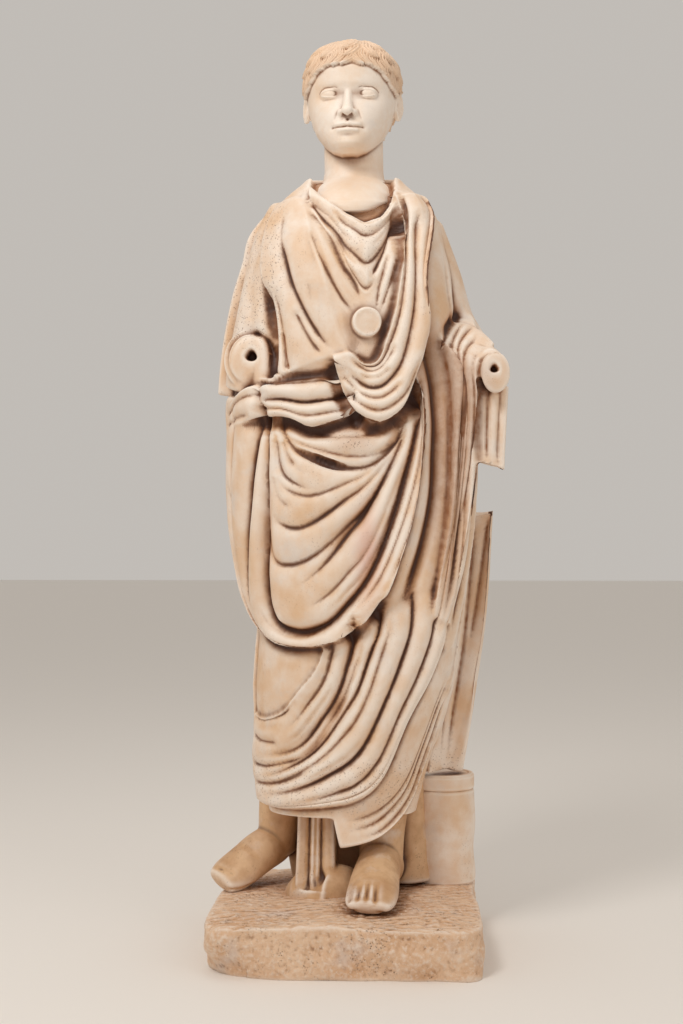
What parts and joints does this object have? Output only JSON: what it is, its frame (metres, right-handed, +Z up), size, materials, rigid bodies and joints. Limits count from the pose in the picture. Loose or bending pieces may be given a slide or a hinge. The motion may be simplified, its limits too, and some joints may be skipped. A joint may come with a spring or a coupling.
{
  "type": "marble statue of a boy in a toga",
  "caption": "Life-size classical marble statue of a standing boy in tunic and toga, with both forearms broken off, a scroll box at the left foot and a rough plinth.",
  "frame": {"origin": "on the underside of the plinth, under the figure's axis, 9 mm from the plinth's centre line", "axes": "+Z up, -Y the way the figure faces, +X towards its left hand"},
  "size_m": [0.4567, 0.3793, 1.38],
  "materials": {
    "draped_marble": "weathered, honey-stained marble, matt with a slight polish",
    "head_marble": "smooth, lightly polished pale marble"
  },
  "bodies": {
    "root": {"draped_figure": "draped_marble", "head_and_neck": "head_marble"}
  },
  "joints": []
}
